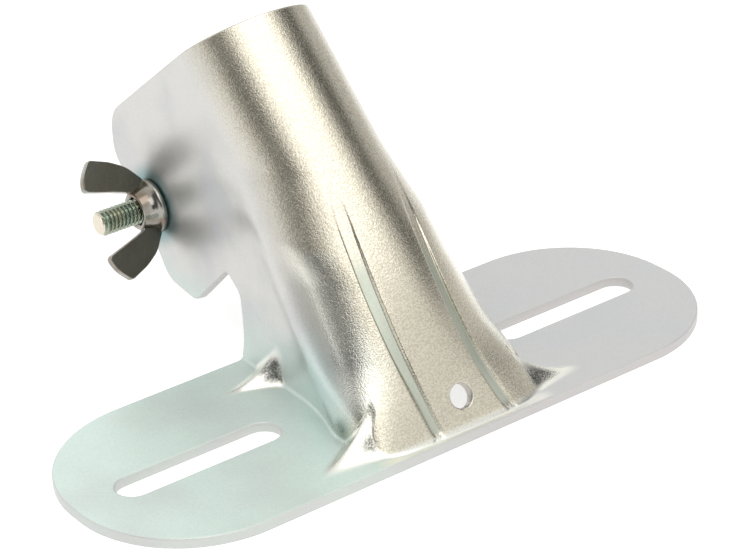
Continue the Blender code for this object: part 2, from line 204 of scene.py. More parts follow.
# Underside of the head, from its rim to the shank: (radius, height) in millimetres
HEAD_UNDERSIDE = ((7.5, -0.25), (7.4, -0.05), (7.2, 0.0), (3.25, 0.0), (2.95, 0.3))
BEVEL_SEGMENTS = 3
BEVEL_ANGLE = math.radians(35)
NUT_SIDES = 96
NUT_SHARP_ANGLE = math.radians(32)
HUB_RADIUS = 5.2 * MM
HUB_HEIGHT = 5.0 * MM
WING_THICKNESS = 2.2 * MM
WING_SPAN = 29.0 * MM
WING_HEIGHT = 15.5 * MM
WING_TURN = math.radians(31.2)
WING_DRAFT = 0.25
WING_BEVEL = 0.42 * MM
WING_FACE_FROM = 3.0 * MM
FACE_TOLERANCE = 0.02 * MM

# Hub and flange from the hub's top edge to the ear: (radius, height) in millimetres
HUB_PROFILE = (
    (3.9, 5.0), (4.2, 4.93), (4.4, 4.75), (4.55, 4.2), (4.8, 3.2), (5.2, 2.2),
    (5.9, 1.55), (6.3, 1.3), (6.5, 0.95), (6.5, 0.35), (6.35, 0.1), (6.1, 0.0),
)
# Tool that cuts the bore and its chamfer, longer than the hub at both ends
BORE_PROFILE = ((0, -1), (3.2, -1), (3.2, 4.6), (3.7, 5.1), (3.7, 8), (0, 8))


# ---------------------------------------------------------------- sheet surface

def ramp(value, start, full):
    """0 at start and before it, 1 from full on, and a smooth step between them."""
    part = np.clip((value - start) / (full - start), 0.0, 1.0)
    return part * part * (3 - 2 * part)


def front_line(z):
    """Depth of the foremost line of the socket: the tube, then a steeper toe below it."""
    tube = AXIS_START + z / math.tan(LEAN) - TUBE_RADIUS / math.sin(LEAN)
    toe = TOE_START + (z - SHEET) / math.tan(TOE_SLOPE)
    blend = TOE_BLEND * np.log1p(np.exp(-np.abs(tube - toe) / TOE_BLEND))
    return np.maximum(tube, toe) + blend


def flute_dent(x, z):
    """Depth of the pressed flutes: a slope on the left, a flat floor, a sharp step on the right."""
    dent = np.zeros_like(x)
    for waist_x, waist_z, bow, top in FLUTES:
        centre = waist_x + bow * (z - waist_z) ** 2
        half = FLUTE_HALF_WIDTH * np.sqrt(np.clip((top - z) / FLUTE_POINT, 0.0, 1.0))
        half = np.maximum(half, FLUTE_NARROWEST)
        left, right = centre - half, centre + half
        deep = FLUTE_DEPTH * ramp(z, top, top - FLUTE_FADE) * ramp(z, *FLUTE_FOOT)
        floor = ramp(x, left, left + FLUTE_SLOPE) * ramp(x, right, right - FLUTE_STEP)
        dent = np.maximum(dent, deep * floor)
    return dent


def wall(u, z, detailed):
    """Outer surface at height z, with the flutes if detailed.

    |u| is 0 at the front, 0.5 where the flat cheek starts and 1 at the cheek's back."""
    along = np.abs(u)
    flat = np.clip(1 - z / FLAT_HEIGHT, 0.0, None) ** 2
    start = AXIS_START + z / math.tan(LEAN) + FLAT_SHIFT * flat
    flare = np.clip(1 - z / FLARE_HEIGHT, 0.0, None)
    half = TUBE_RADIUS + FLARE_WIDTH * (1 - (1 - flare) ** 2) ** FLARE_POWER
    rest = EAR_HALF_WIDTH + CHEEK_SPREAD * np.clip(1 - z / CHEEK_SPREAD_HEIGHT, 0.0, None) ** 2
    power = 2 / (2 + FLAT_CORNER * flat ** 2)
    angle = np.clip(along, 0, 0.5) * math.pi
    pinch = SHOULDER_DEPTH * ramp(z, *SHOULDER_FOOT) * ramp(z, *SHOULDER_TOP)
    pinch = pinch * (1 - ramp(angle, *SHOULDER))
    curve_x = (half - (half - TUBE_RADIUS) * pinch) * np.sin(angle) ** power
    round_part = np.clip(np.cos(angle), 0.0, None) ** power
    curve_y = start - (start - front_line(z)) * round_part
    cheek_y = start + (along - 0.5) * 2 * (CHEEK_BACK - start)
    settled = (np.clip(cheek_y - start, 0, None) / CHEEK_SETTLE) ** CHEEK_SETTLE_POWER
    cheek_x = rest + (half - rest) * np.exp(-settled)
    on_curve = along <= 0.5
    x = np.sign(u) * np.where(on_curve, curve_x, cheek_x)
    y = np.where(on_curve, curve_y, cheek_y)
    if detailed:
        dent = np.where(on_curve, flute_dent(x, z), 0.0)
        y = y + dent * math.cos(FLUTE_LEAN)
        z = z - dent * math.sin(FLUTE_LEAN)
    return np.stack([x, y + FRONT_EDGE, z + 0 * x], axis=-1)


def gusset_spread(u, y):
    """(share of full size, reach, rise) of the gusset at a place along the fold."""
    share = np.zeros_like(y)
    reach = np.zeros_like(y)
    rise = np.zeros_like(y)
    for (centre, before, behind, full_reach, full_rise), allowed in (
        (BACK_GUSSET, np.abs(u) > BACK_GUSSET_FROM),
        (FRONT_GUSSET, np.abs(u) > FRONT_GUSSET_FROM),
    ):
        away = y - centre
        away = away / np.where(away < 0, before, behind)
        softness = RIDGE_SOFTNESS / before
        size = np.clip(1 + softness - np.sqrt(away ** 2 + softness ** 2), 0.0, None)
        size = np.where(allowed, size ** GUSSET_STEEPNESS, 0.0)
        share = np.maximum(share, size)
        reach = np.maximum(reach, size * full_reach)
        rise = np.maximum(rise, size * full_rise)
    return share, reach, rise


def foot_end(u, x, y):
    """Where the untrimmed foot ends, straight out from a place on the fold."""
    edge_x = FOOT_SPAN / 2 + TRIM_MARGIN
    edge_y = FRONT_EDGE - TRIM_MARGIN
    centre_y = AXIS_START + FLAT_SHIFT + FRONT_EDGE
    reach = edge_x / np.maximum(np.abs(x), TINY)
    forward = centre_y - y
    to_front = (centre_y - edge_y) / np.maximum(forward, TINY)
    reach = np.where(forward > TINY, np.minimum(reach, to_front), reach)
    fan_x, fan_y = x * reach, centre_y + (y - centre_y) * reach
    straight = np.abs(u) >= 0.5
    end_x = np.where(straight, np.sign(u) * edge_x, fan_x)
    return end_x, np.where(straight, y, fan_y)


def turned_column(u, z, relief):
    """Column u's place at height z: columns lean to the front round the front gusset."""
    place, end, turn, height = RIDGE_TURN
    along = np.abs(u)
    share = np.where(along < place, ramp(along, 0, place), ramp(along, end, place))
    return np.sign(u) * (along - turn * relief * share * ramp(z, SHEET, SHEET + height))


def sheet_columns():
    """Values of u for the sheet's columns, closest where the sheet bends most."""
    half = [0.0]
    for end, count in COLUMN_BANDS:
        half.extend(np.linspace(half[-1], end, count + 1)[1:])
    half = np.array(half)
    return np.concatenate([-half[:0:-1], half])


def sheet_grid(detailed, relief=1.0):
    """Grid of points [column, row] of the outer surface, from the foot's end up to the rim.

    Also gives how far each point lies within a gusset, from 0 to 1."""
    u = sheet_columns()
    fold = wall(u, np.full_like(u, SHEET), detailed=False)
    spread = gusset_spread(u, fold[:, 1] - FRONT_EDGE)
    share, extra_reach, extra_rise = (relief * part for part in spread)
    end_x, end_y = foot_end(u, fold[:, 0], fold[:, 1])
    run = np.hypot(end_x - fold[:, 0], end_y - fold[:, 1])
    reach = np.minimum((FOLD_RADIUS + extra_reach) / run, MOST_REACH)
    rise = FOLD_RADIUS + extra_rise
    top = wall(turned_column(u, SHEET + rise, relief), SHEET + rise, detailed)

    def on_foot(part):
        x = fold[:, 0] + (end_x - fold[:, 0]) * part
        y = fold[:, 1] + (end_y - fold[:, 1]) * part
        return np.stack([x, y, np.full_like(x, SHEET)], axis=-1)

    parts = np.linspace(1, 0, FOOT_ROWS + 1)[:-1] ** FOOT_ROW_POWER
    rows = [on_foot(reach + (1 - reach) * part) for part in parts]
    bulged = [0 * share for _ in rows]
    middle = on_foot(0)
    start = on_foot(reach)
    for t in np.linspace(0, 1, FOLD_ROWS + 1):
        a = np.full_like(share, (1 - t) ** 2)
        b = 2 * t * (1 - t) * (1 - GUSSET_FLATNESS * share)
        c = np.full_like(share, t ** 2)
        weights = [(w / (a + b + c))[:, None] for w in (a, b, c)]
        rows.append(start * weights[0] + middle * weights[1] + top * weights[2])
        bulged.append(ramp(share, 0, BULGE_SHARE) * ramp(min(t, 1 - t), 0, BULGE_FOLD))
    for part in np.linspace(0, 1, WALL_ROWS + 1)[1:] ** WALL_ROW_POWER:
        height = SHEET + rise + part * (WALL_TOP - SHEET - rise)
        rows.append(wall(turned_column(u, height, relief), height, detailed))
        bulged.append(0 * share)
    return np.stack(rows, axis=1), np.stack(bulged, axis=1)


def grid_normals(points):
    """Unit normals of a grid, pointing to the sheet's outer side."""
    along_columns = np.gradient(points, axis=0)
    along_rows = np.gradient(points, axis=1)
    normals = np.cross(along_columns, along_rows)
    return normals / np.maximum(np.linalg.norm(normals, axis=-1, keepdims=True), 1e-12)


# ---------------------------------------------------------------- outlines

def rounded(corners, arc_steps=12):
    """Closed outline through corners (a, b, radius), with each corner turned into an arc."""
    outline = []
    count = len(corners)
    for i, (a, b, radius) in enumerate(corners):
        if radius == 0:
            outline.append((a, b))
            continue
        corner = Vector((a, b))
        before = (Vector(corners[i - 1][:2]) - corner).normalized()
        after = (Vector(corners[(i + 1) % count][:2]) - corner).normalized()
        half = before.angle(after) / 2
        centre = corner + (before + after).normalized() * radius / math.sin(half)
        first = corner + before * radius / math.tan(half) - centre
        turn = first.angle_signed(corner + after * radius / math.tan(half) - centre)
        for step in range(arc_steps + 1):
            spot = centre + Matrix.Rotation(-turn * step / arc_steps, 2) @ first
            outline.append((spot.x, spot.y))
    return outline


def signed_distance(outline, a, b):
    """Distance to a closed outline, negative inside it."""
    first = np.array(outline)
    last = np.roll(first, -1, axis=0)
    points = np.stack([a, b], axis=-1)
    best = np.full(len(points), np.inf)
    inside = np.zeros(len(points), dtype=bool)
    for p, q in zip(first, last):
        line = q - p
        length = max(line @ line, TINY ** 3)
        along = np.clip(((points - p) @ line) / length, 0, 1)
        best = np.minimum(best, np.linalg.norm(points - p - along[:, None] * line, axis=1))
        crosses = (p[1] > points[:, 1]) != (q[1] > points[:, 1])
        slope = (q[0] - p[0]) / (q[1] - p[1] or 1.0)
        inside ^= crosses & (points[:, 0] < p[0] + slope * (points[:, 1] - p[1]))
    return np.where(inside, -best, best)


def rim_height(y):
    """Height of the slanting rim at depth y behind the feet's front edge."""
    return (RIM_DISTANCE - y * math.cos(RIM_ANGLE)) / math.sin(RIM_ANGLE)


def side_outline():
    """Side view of the bracket: neck, notch, ear and rim.

    Corners are (depth, height, radius) in millimetres."""
    corners = [
        (0, -10, 0),
        (FOOT_DEPTH / MM, -10, 0),
        (FOOT_DEPTH / MM, 7.0, 10.0),
        (60.9, 17.2, 3.5),
        (65.9, 20.9, 1.6),
        (78.2, 9.0, 3.5),
        (89.8, 10.3, 8.0),
        (EAR_BACK / MM, 35.2, 7.0),
        (EAR_BACK / MM, rim_height(EAR_BACK) / MM, 9.0),
        (RIM_FRONT / MM, rim_height(RIM_FRONT) / MM, 0),
        (0, rim_height(RIM_FRONT) / MM, 0),
    ]
    return rounded([(y * MM + FRONT_EDGE, z * MM, radius * MM) for y, z, radius in corners])


def foot_outline():
    """Both feet from above, as one rounded strip."""
    half = FOOT_SPAN / 2
    back = FRONT_EDGE + FOOT_DEPTH
    corners = [(-half, FRONT_EDGE), (half, FRONT_EDGE), (half, back), (-half, back)]
    return rounded([(x, y, FOOT_END_RADIUS) for x, y in corners], arc_steps=40)


SIDE = side_outline()
FOOT = foot_outline()


def outside(points):
    """How far outside the finished sheet a point is: positive over a hole or past an edge."""
    x, y, z = points[:, 0], points[:, 1], points[:, 2]
    side = signed_distance(SIDE, y, z)
    edge = np.where(np.abs(x) > FOOT_FROM, signed_distance(FOOT, x, y), side)

    middle_y = FRONT_EDGE + FOOT_DEPTH / 2
    straight = (SLOT_LENGTH - SLOT_WIDTH) / 2
    past = np.maximum(np.abs(np.abs(x) - SLOT_SPACING / 2) - straight, 0)
    slot = SLOT_WIDTH / 2 - np.hypot(past, y - middle_y)
    on_feet = (z < SLOTS_BELOW) & (np.abs(x) > SLOTS_FROM)

    round_hole = BOLT_HOLE_RADIUS - np.hypot(y - BOLT_Y, z - BOLT_Z)
    beyond = np.stack([np.abs(y - BOLT_Y), np.abs(z - BOLT_Z)])
    beyond = beyond - (NECK_HOLE_HALF_SIDE - NECK_HOLE_CORNER)
    square_hole = NECK_HOLE_CORNER - np.linalg.norm(np.maximum(beyond, 0), axis=0)
    square_hole = square_hole - np.minimum(beyond.max(axis=0), 0)

    drain_y = FRONT_EDGE + front_line(np.array(DRAIN_HEIGHT))
    up_wall = (y - drain_y) * math.cos(TOE_SLOPE) + (z - DRAIN_HEIGHT) * math.sin(TOE_SLOPE)
    drain = DRAIN_RADIUS - np.hypot(x - DRAIN_X, up_wall)
    near_toe = (y < FRONT_EDGE + DRAIN_DEPTH) & (np.abs(x) < DRAIN_HALF_WIDTH) & (z > DRAIN_ABOVE)

    holes = ((slot, on_feet), (round_hole, x < 0), (square_hole, x > 0), (drain, near_toe))
    for hole, region in holes:
        edge = np.maximum(edge, np.where(region, hole, -1.0))
    return edge


def outside_slope(points):
    """Direction in which outside() grows."""
    steps = np.eye(3) * SLOPE_STEP
    return np.stack([outside(points + step) - outside(points - step) for step in steps], axis=-1)


# ---------------------------------------------------------------- bracket mesh

def trim(quads, value):
    """Cuts quads along value = 0 and keeps the negative side.

    Gives faces, and for each new point the two old points and the share of the second one."""
    cuts = {}
    shares = []

    def cut(i, j):
        key = (min(i, j), max(i, j))
        if key not in cuts:
            cuts[key] = len(value) + len(shares)
            low, high = value[key[0]], value[key[1]]
            shares.append((*key, low / (low - high)))
        return cuts[key]

    faces = []
    keep = value < 0
    for quad in quads:
        inside = keep[quad]
        if not inside.any():
            continue
        if inside.all():
            faces.append(tuple(quad))
            continue
        face = []
        for k in range(4):
            i, j = int(quad[k]), int(quad[(k + 1) % 4])
            if keep[i]:
                face.append(i)
            if keep[i] != keep[j]:
                face.append(cut(i, j))
        if len(face) > 2:
            faces.append(tuple(face))
    return faces, shares


def boundary_edges(faces):
    """Directed edges that belong to one face only."""
    seen = {}
    for face in faces:
        seen.update(dict.fromkeys(zip(face, face[1:] + face[:1])))
    return [(i, j) for i, j in seen if (j, i) not in seen]


def closed_mesh(name, points, faces, marks=(), weld=0.0):
    """Mesh with its faces turned outwards. marks are (attribute, value for each point)."""
    mesh = bpy.data.meshes.new(name)
    mesh.from_pydata(points, [], faces)
    for mark, values in marks:
        mesh.attributes.new(mark, "FLOAT", "POINT").data.foreach_set("value", values)
    bm = bmesh.new()
    bm.from_mesh(mesh)
    if weld:
        bmesh.ops.remove_doubles(bm, verts=bm.verts, dist=weld)
    bmesh.ops.recalc_face_normals(bm, faces=bm.faces)
    bm.to_mesh(mesh)
    bm.free()
    return mesh


def new_object(name, data):
    """Object in the scene that holds a mesh, a lamp or a camera."""
    item = bpy.data.objects.new(name, data)
    bpy.context.scene.collection.objects.link(item)
    return item


def inner_side(plain, normals):
    """The sheet's inner side: one thickness in, from softer gussets near the feet."""
    soft, _ = sheet_grid(detailed=False, relief=INNER_RELIEF)
    eased = ramp(plain[..., 2:], *INNER_EASE)
    eased[:, :FOOT_ROWS] = 0.0
    soft_inner = soft - grid_normals(soft) * SHEET
    return (plain - normals * SHEET) * (1 - eased) + soft_inner * eased


def surface_marks(outer, plain, bulged):
    """How drawn, how pressed into a flute and how rubbed the sheet is, from 0 to 1. The rubbed mark
    is also a painted highlight.
    """
    along = np.abs(sheet_columns())[:, None]
    x, y, z = np.moveaxis(plain, -1, 0)
    drawn = ramp(along, *DRAWN_SIDE) * ramp(z, *DRAWN_FOOT)
    pressed = np.linalg.norm(outer - plain, axis=-1) / FLUTE_DEPTH
    shoulder = ramp(along * math.pi, *SHOULDER) * ramp(along, *SHOULDER_SIDE)
    shoulder = shoulder * ramp(z, *SHOULDER_SHINE_FOOT) * ramp(z, *SHOULDER_SHINE_TOP)
    lip = ramp(y, *LIP_Y) * ramp(np.abs(x), *LIP_X) * ramp(z, *LIP_Z)
    # The rubbed mark is real rubbing (smoother and more metallic) plus a painted highlight, a
    # brighter colour
    rubbed_with_highlight = np.maximum.reduce([SHOULDER_SHINE * shoulder, LIP_SHINE * lip, bulged])
    return drawn, pressed, rubbed_with_highlight


def edge_profile():
    """Section across a cut edge: (distance past the trim, depth below the outer side)."""
    profile = [(EDGE_BAND, 0.0)]
    for k in range(1, EDGE_STEPS + 1):
        angle = math.pi / 2 * k / EDGE_STEPS
        distance = EDGE_BAND + EDGE_RADIUS * math.sin(angle)
        profile.append((distance, EDGE_RADIUS * (1 - math.cos(angle))))
    return profile + [(distance, SHEET - depth) for distance, depth in reversed(profile)]


def make_bracket():
    """Both sides of the sheet, trimmed, with a rounded edge round every outline and hole."""
    outer, bulged = sheet_grid(detailed=True)
    plain, _ = sheet_grid(detailed=False)
    normals = grid_normals(plain)
    inner = inner_side(plain, normals)
    marks = surface_marks(outer, plain, bulged)
    index = np.arange(bulged.size).reshape(bulged.shape)
    corners = [index[:-1, :-1], index[1:, :-1], index[1:, 1:], index[:-1, 1:]]
    value = outside(plain.reshape(-1, 3)) + EDGE_RADIUS + EDGE_BAND
    faces, shares = trim(np.stack(corners, axis=-1).reshape(-1, 4), value)
    first, second, part = (np.array(column) for column in zip(*shares))

    def extend(grid):
        """The grid's values as a list, followed by those of the points that the trim added."""
        values = grid.reshape(bulged.size, -1)
        added = values[first] * (1 - part[:, None]) + values[second] * part[:, None]
        return np.concatenate([values, added])

    outer, plain, inner = extend(outer), extend(plain), extend(inner)
    drawn, pressed, rubbed_with_highlight = (extend(mark)[:, 0] for mark in marks)

    edges = boundary_edges(faces)
    rim = sorted({i for edge in edges for i in edge})
    normal = extend(normals)[rim]
    normal /= np.linalg.norm(normal, axis=1, keepdims=True)
    slope = outside_slope(plain[rim])
    across = slope - (slope * normal).sum(axis=1, keepdims=True) * normal
    across /= np.linalg.norm(across, axis=1, keepdims=True)

    profile = edge_profile()
    used = sorted({i for face in faces for i in face})
    count = len(used)
    place = {old: new for new, old in enumerate(used)}
    rim_place = {old: new for new, old in enumerate(rim)}
    strips = [outer[rim] + across * distance - normal * depth for distance, depth in profile]
    points = np.concatenate([outer[used], inner[used], *strips])
    on_edge = np.zeros(len(points))
    on_edge[2 * count + len(rim):len(points) - len(rim)] = 1.0
    elsewhere = np.zeros(len(points) - count)
    marks = (
        ("drawn", np.concatenate([drawn[used], drawn[used], np.tile(drawn[rim], len(profile))])),
        ("cut_edge", on_edge),
        ("flute", np.concatenate([pressed[used], elsewhere])),
        ("burnished", np.concatenate([rubbed_with_highlight[used], elsewhere])),
    )

    def chain(i):
        """A rim point's numbers, from the outer side over the edge to the inner side."""
        over = [2 * count + k * len(rim) + rim_place[i] for k in range(len(profile))]
        return [place[i], *over, count + place[i]]

    mesh_faces = [tuple(place[i] for i in face) for face in faces]
    mesh_faces += [tuple(count + place[i] for i in reversed(face)) for face in faces]
    for i, j in edges:
        from_i, from_j = chain(i), chain(j)
        for k in range(len(from_i) - 1):
            mesh_faces.append((from_j[k], from_i[k], from_i[k + 1], from_j[k + 1]))
    mesh = closed_mesh("bracket_sheet", points.tolist(), mesh_faces, marks, WELD_DISTANCE)
    mesh.shade_smooth()
    return new_object("bracket_sheet", mesh)


# ---------------------------------------------------------------- bolt and nut

def bolt_frame(x):
    """Local Z along -X, from the bolt's head to its tip, and local X up, at x on the bolt's axis."""
    z_axis = Vector((-1, 0, 0))
    x_axis = Vector((0, 0, 1))
    y_axis = z_axis.cross(x_axis)
    matrix = Matrix((x_axis, y_axis, z_axis)).transposed().to_4x4()
    matrix.translation = (x, BOLT_Y, BOLT_Z)
    return matrix


def lathe(profile, sides, name, thread=None):
    """Closed turned mesh. thread(angle, height) is a cut depth taken off the radius."""
    points = [(0, 0, profile[0][1])]
    for radius, height in profile[1:-1]:
        for k in range(sides):
            angle = 2 * math.pi * k / sides
            r = radius - (thread(angle, height) if thread else 0)
            points.append((r * math.cos(angle), r * math.sin(angle), height))
    points.append((0, 0, profile[-1][1]))
    rings = len(profile) - 2
    faces = []
    for k in range(sides):
        after = (k + 1) % sides
        faces.append((0, 1 + after, 1 + k))
        for ring in range(rings - 1):
            a = 1 + ring * sides
            faces.append((a + k, a + after, a + sides + after, a + sides + k))
        a = 1 + (rings - 1) * sides
        faces.append((a + k, a + after, len(points) - 1))
    return closed_mesh(name, points, faces)


def thread_cut(angle, height):
    """Depth of a right-hand M6 thread below its crest, fading in at its start, out at the tip."""
    begins = BOLT_LENGTH - THREAD_LENGTH
    if height <= begins:
        return 0.0
    phase = (height / PITCH + angle / (2 * math.pi)) % 1.0
    groove = min(max((abs(2 * phase - 1) - THREAD_ROOT) / THREAD_FLANK, 0.0), 1.0)
    run_in = min((height - begins) / THREAD_RUN_IN, 1.0)
    run_out = min(max((BOLT_LENGTH - height) / THREAD_RUN_OUT, 0.0), 1.0)
    return THREAD_DEPTH * (1 - groove) * run_in * run_out


def bevelled(item, width):
    """Rounds an object's sharp edges."""
    bevel = item.modifiers.new("edges", "BEVEL")
    bevel.width = width
    bevel.segments = BEVEL_SEGMENTS
    bevel.limit_method = "ANGLE"
    bevel.angle_limit = BEVEL_ANGLE
    apply_modifiers(item)


def apply_modifiers(item):
    """Gives an object the mesh that its modifiers make, without the modifiers."""
    evaluated = item.evaluated_get(bpy.context.evaluated_depsgraph_get())
    mesh = bpy.data.meshes.new_from_object(evaluated)
    item.modifiers.clear()
    item.data = mesh


def join_with(item, other, operation="UNION"):
    """Boolean of two objects, applied; the second one is removed."""
    modifier = item.modifiers.new(operation, "BOOLEAN")
    modifier.operation = operation
    modifier.solver = "EXACT"
    modifier.object = other
    bpy.context.view_layer.update()
    apply_modifiers(item)
    bpy.data.objects.remove(other, do_unlink=True)


def block(name, low, high, bevel_width):
    """Box between two corners, with rounded edges."""
    bm = bmesh.new()
    bmesh.ops.create_cube(bm, size=1.0)
    size = [b - a for a, b in zip(low, high)]
    bmesh.ops.scale(bm, vec=size, verts=bm.verts)
    bmesh.ops.translate(bm, vec=[(a + b) / 2 for a, b in zip(low, high)], verts=bm.verts)
    mesh = bpy.data.meshes.new(name)
    bm.to_mesh(mesh)
    bm.free()
    item = new_object(name, mesh)
    bevelled(item, bevel_width)
    return item


def make_bolt():
    """Cup-head bolt with a square neck and a helical thread, turned from head to tip."""
    profile = [(0, -HEAD_HEIGHT)]
    for i in range(1, DOME_STEPS):
        angle = math.pi / 2 * i / DOME_STEPS
        depth = HEAD_HEIGHT * math.cos(angle) + HEAD_RIM * math.sin(angle)
        profile.append((HEAD_RADIUS * math.sin(angle), -depth))
    profile += [(radius * MM, height * MM) for radius, height in HEAD_UNDERSIDE]
    begins = BOLT_LENGTH - THREAD_LENGTH
    profile += [(BOLT_RADIUS, height) for height in np.linspace(SHANK_START, begins, SHANK_RINGS)]
    rings = int(THREAD_LENGTH / PITCH * THREAD_RINGS)
    for height in np.linspace(begins, BOLT_LENGTH, rings + 1)[1:]:
        chamfer = max(height - (BOLT_LENGTH - BOLT_CHAMFER), 0.0)
        profile.append((BOLT_RADIUS - CHAMFER_SLOPE * chamfer, height))
    profile += [(TIP_FLAT_RADIUS, BOLT_LENGTH), (0, BOLT_LENGTH)]
    name = "clamp_bolt_threaded"
    bolt = new_object(name, lathe(profile, BOLT_SIDES, name, thread_cut))
    side = NECK_HALF_SIDE
    low, high = (-side, -side, -NECK_ROOT), (side, side, NECK_LENGTH)
    join_with(bolt, block("neck", low, high, NECK_BEVEL))
    bolt.data.transform(bolt_frame(EAR_HALF_WIDTH + GAP))
    bolt.data.shade_smooth()
    bolt.data.set_sharp_from_angle(angle=BOLT_SHARP_ANGLE)
    return bolt


def wing_outline():
    """One wing in the plane of the nut's axis.

    Corners are (distance from the axis, height along it, radius) in millimetres."""
    corners = [
        (3.8, 0.9, 0),
        (6.6, 0.7, 1.0),
        (10.3, 3.4, 8.0),
        (12.6, 7.0, 12.0),
        (WING_SPAN / 2 / MM, 11.8, 1.1),
        (11.2, 14.7, 8.0),
        (7.8, WING_HEIGHT / MM, 1.1),
        (6.0, 9.2, 12.0),
        (4.5, 4.7, 0.6),
        (3.8, 4.7, 0),
    ]
    return rounded([(a * MM, b * MM, radius * MM) for a, b, radius in corners], arc_steps=8)


def wing_half_thickness(distance):
    """Half the wing's thickness at a distance from the nut's axis: thinner towards the tip."""
    return WING_THICKNESS / 2 * (1 - WING_DRAFT * (distance - HUB_RADIUS) / (WING_SPAN / 2))


def make_wing(turn):
    """One wing: its outline as a plate with rounded edges, turned about the nut's axis."""
    outline = wing_outline()
    count = len(outline)
    points = [(a, -wing_half_thickness(a), b) for a, b in outline]
    points += [(a, wing_half_thickness(a), b) for a, b in outline]
    faces = [tuple(range(count)), tuple(reversed(range(count, 2 * count)))]
    for i in range(count):
        j = (i + 1) % count
        faces.append((j, i, count + i, count + j))
    item = new_object("wing", closed_mesh("wing", points, faces))
    bevelled(item, WING_BEVEL)
    item.data.transform(Matrix.Rotation(turn, 4, "Z"))
    return item


def make_nut():
    """Wing nut: hub and two wings joined as one casting, and the bore cut through it."""
    profile = [(0, HUB_HEIGHT)] + [(radius * MM, height * MM) for radius, height in HUB_PROFILE]
    profile.append((0, 0))
    nut = new_object("wing_nut_cast", lathe(profile[::-1], NUT_SIDES, "wing_nut_cast"))
    for turn in (WING_TURN, WING_TURN + math.pi):
        join_with(nut, make_wing(turn))
    bore_profile = [(radius * MM, height * MM) for radius, height in BORE_PROFILE]
    join_with(nut, new_object("bore", lathe(bore_profile, NUT_SIDES, "bore")), "DIFFERENCE")
    flat = []
    for vertex in nut.data.vertices:
        spot = Matrix.Rotation(-WING_TURN, 3, "Z") @ vertex.co
        off_face = abs(abs(spot.y) - wing_half_thickness(abs(spot.x)))
        flat.append(1.0 if abs(spot.x) > WING_FACE_FROM and off_face < FACE_TOLERANCE else 0.0)
    nut.data.attributes.new("wing_face", "FLOAT", "POINT").data.foreach_set("value", flat)
    nut.data.transform(bolt_frame(-EAR_HALF_WIDTH - GAP))
    nut.data.shade_smooth()
    nut.data.set_sharp_from_angle(angle=NUT_SHARP_ANGLE)
    weighted = nut.modifiers.new("flat_faces", "WEIGHTED_NORMAL")
    weighted.keep_sharp = True
    bpy.context.view_layer.update()
    apply_modifiers(nut)
    return nut


# ---------------------------------------------------------------- materials

class Nodes:
    """Short names for building a node tree."""

    def __init__(self, tree):
        self.tree = tree

    def add(self, kind, **inputs):
        node = self.tree.nodes.new(kind)
        for name, value in inputs.items():
            self.put(node.inputs[name], value)
        return node

    def put(self, socket, value):
        if isinstance(value, bpy.types.NodeSocket):
            self.tree.links.new(value, socket)
        elif isinstance(value, tuple) and len(value) == 3 and socket.type == "RGBA":
            socket.default_value = (*value, 1.0)
        else:
            socket.default_value = value

    def math(self, operation, *values):
        node = self.tree.nodes.new("ShaderNodeMath")
        node.operation = operation
        for socket, value in zip(node.inputs, values):
            self.put(socket, value)
        return node.outputs[0]

    def vector_math(self, operation, *values, output=0):
        node = self.tree.nodes.new("ShaderNodeVectorMath")
        node.operation = operation
        for socket, value in zip(node.inputs, values):
            self.put(socket, value)
        return node.outputs[output]

    def smooth_range(self, value, low, high, to_low=0.0, to_high=1.0):
        node = self.tree.nodes.new("ShaderNodeMapRange")
        node.interpolation_type = "SMOOTHSTEP"
        for name, part in (("Value", value), ("From Min", low), ("From Max", high),
                           ("To Min", to_low), ("To Max", to_high)):
            self.put(node.inputs[name], part)
        return node.outputs["Result"]

    def noise(self, vector, scale, detail=2.0, roughness=0.5):
        node = self.add("ShaderNodeTexNoise", Vector=vector, Scale=scale, Detail=detail)
        self.put(node.inputs["Roughness"], roughness)
        return node.outputs["Fac"]

    def mix(self, factor, first, second):
        node = self.tree.nodes.new("ShaderNodeMix")
        node.data_type = "RGBA"
        for number, value in ((0, factor), (6, first), (7, second)):
            self.put(node.inputs[number], value)
        return node.outputs[2]

    def tint(self, colour, mask, amount, target):
        """Colour moved towards target by amount where the mask is 1."""
        return self.mix(self.math("MULTIPLY", mask, amount), colour, target)

    def near(self, position, centre, inner, outer):
        """1 within inner metres of a place, fading to 0 at outer metres."""
        distance = self.vector_math("DISTANCE", position, centre, output=1)
        return self.smooth_range(distance, outer, inner)

    def attribute(self, name):
        node = self.tree.nodes.new("ShaderNodeAttribute")
        node.attribute_name = name
        return node.outputs["Fac"]


def new_material(name):
    """A metal: gives the material, its node helper, its shader and the position on the object."""
    material = bpy.data.materials.new(name)
    material.use_nodes = True
    tree = material.node_tree
    shader = tree.nodes["Principled BSDF"]
    shader.inputs["Metallic"].default_value = 1.0
    nodes = Nodes(tree)
    position = nodes.add("ShaderNodeTexCoord").outputs["Object"]
    return material, nodes, shader, position


def bumped(nodes, shader, layers):
    """Chains bump nodes for (height, distance, strength) layers into the shader's normal."""
    normal = None
    for height, distance, strength in layers:
        bump = nodes.add("ShaderNodeBump", Height=height, Distance=distance)
        nodes.put(bump.inputs["Strength"], strength)
        if normal is not None:
            nodes.put(bump.inputs["Normal"], normal)
        normal = bump.outputs["Normal"]
    nodes.put(shader.inputs["Normal"], normal)


# Spots on the sheet: (place, radius in full, radius where it ends). The last three are on both
# sides of the bracket.
# Dark teal painted shade and painted reflection of the wing nut on the ear round it
NUT_PAINTED_SHADE = ((-0.0176, 0.0393, 0.0269), 6.5 * MM, 11.5 * MM)
CHEEK_TINT = ((-0.0200, -0.0330, 0.0120), 4.0 * MM, 17.0 * MM)
BACK_GUSSET_SHADE = ((0.0196, -0.0103, 0.0055), 1.6 * MM, 4.2 * MM)
FRONT_GUSSET_SHADE = ((0.0212, -0.0487, 0.0047), 0.3 * MM, 4.2 * MM)
# Painted shade of a small dimple beside the front gusset; the dimple is not in the geometry
DIMPLE_PAINTED_SHADE = ((0.0229, -0.0400, 0.0048), 0.0, 3.6 * MM)

